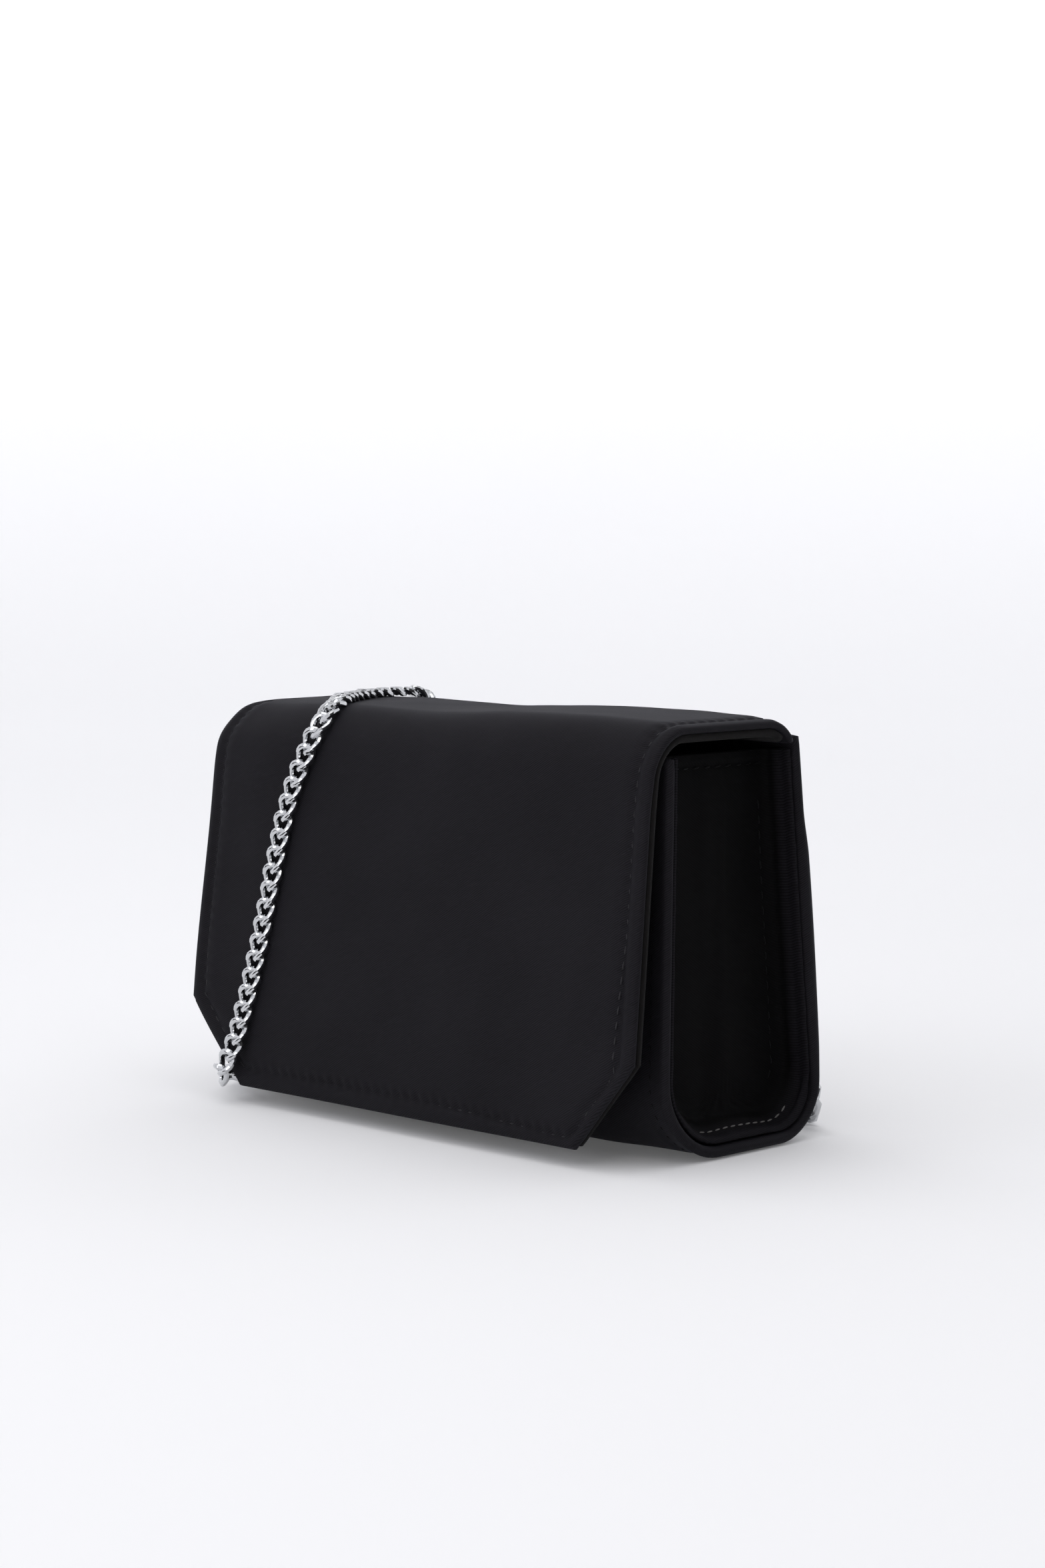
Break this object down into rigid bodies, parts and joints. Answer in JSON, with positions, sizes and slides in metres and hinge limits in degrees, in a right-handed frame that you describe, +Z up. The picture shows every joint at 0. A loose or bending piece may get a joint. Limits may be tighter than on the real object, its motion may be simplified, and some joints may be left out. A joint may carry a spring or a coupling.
{
  "type": "evening bag",
  "caption": "Small structured evening bag with a padded fold-over flap, recessed gussets, a hidden magnetic snap and a curb chain strap.",
  "frame": {"origin": "on the floor under the middle of the bag's own box, the chain left out", "axes": "+X along the bag, from its left gusset to its right gusset as seen from the front; -Y is the front, where the flap hangs; +Z up"},
  "size_m": [0.1906, 0.1405, 0.1253],
  "materials": {
    "satin_body": "black satin, fine diagonal twill, soft cool sheen",
    "satin_gusset": "black satin, gathered at the gusset's foot",
    "satin_flap": "black padded satin with a single row of edge stitching",
    "satin_tab": "black satin folded into a tab",
    "inner_lining": "smooth black lining cloth",
    "suede_lining": "dull black suede-like lining",
    "stiffener": "plain grey-brown stiffening board",
    "wadding": "thin grey wadding",
    "chain_chrome": "bright polished curb chain",
    "ring_chrome": "bright polished ring",
    "snap_steel": "plain nickel-coloured snap"
  },
  "bodies": {
    "bag": {"body_outer": "satin_body", "body_lining": "inner_lining", "front_board": "stiffener", "bottom_board": "stiffener", "back_board": "stiffener", "snap_socket": "snap_steel", "snap_socket_washer": "snap_steel", "gusset_right": "satin_gusset", "gusset_lining_right": "inner_lining", "anchor_tab_right": "satin_tab", "gusset_left": "satin_gusset", "gusset_lining_left": "inner_lining", "anchor_tab_left": "satin_tab", "chain_back_lead": "chain_chrome", "chain_over_hinge": "chain_chrome", "chain_floor_run": "chain_chrome", "chain_right_lead": "chain_chrome", "chain_hank": "chain_chrome"},
    "flap_top": {"flap_top_cover": "satin_flap", "flap_top_foam": "wadding", "flap_top_board": "stiffener", "flap_top_lining": "suede_lining", "chain_over_top": "chain_chrome", "chain_over_bend": "chain_chrome"},
    "flap_front": {"flap_front_cover": "satin_flap", "flap_front_foam": "wadding", "flap_front_board": "stiffener", "flap_front_lining": "suede_lining", "snap_stud": "snap_steel", "snap_stud_washer": "snap_steel", "chain_down_front": "chain_chrome"},
    "ring_left": {"anchor_ring_left": "ring_chrome"},
    "ring_right": {"anchor_ring_right": "ring_chrome"}
  },
  "joints": [
    {"name": "flap_hinge", "type": "hinge", "parent": "bag", "child": "flap_top", "pos_m": [0, 0.0299, 0.116], "axis": [-1, 0, 0], "range_deg": [0, 135], "deforming": ["chain_over_hinge"]},
    {"name": "flap_bend", "type": "hinge", "parent": "flap_top", "child": "flap_front", "pos_m": [0, -0.02754, 0.11644], "axis": [-1, 0, 0], "range_deg": [0, 60], "deforming": ["chain_over_bend"]},
    {"name": "ring_left_swing", "type": "hinge", "parent": "bag", "child": "ring_left", "pos_m": [-0.08, 0.03397, 0.10524], "axis": [1, 0, 0], "range_deg": [-4, 150]},
    {"name": "ring_right_swing", "type": "hinge", "parent": "bag", "child": "ring_right", "pos_m": [0.08, 0.03397, 0.10524], "axis": [1, 0, 0], "range_deg": [-4, 150]}
  ]
}
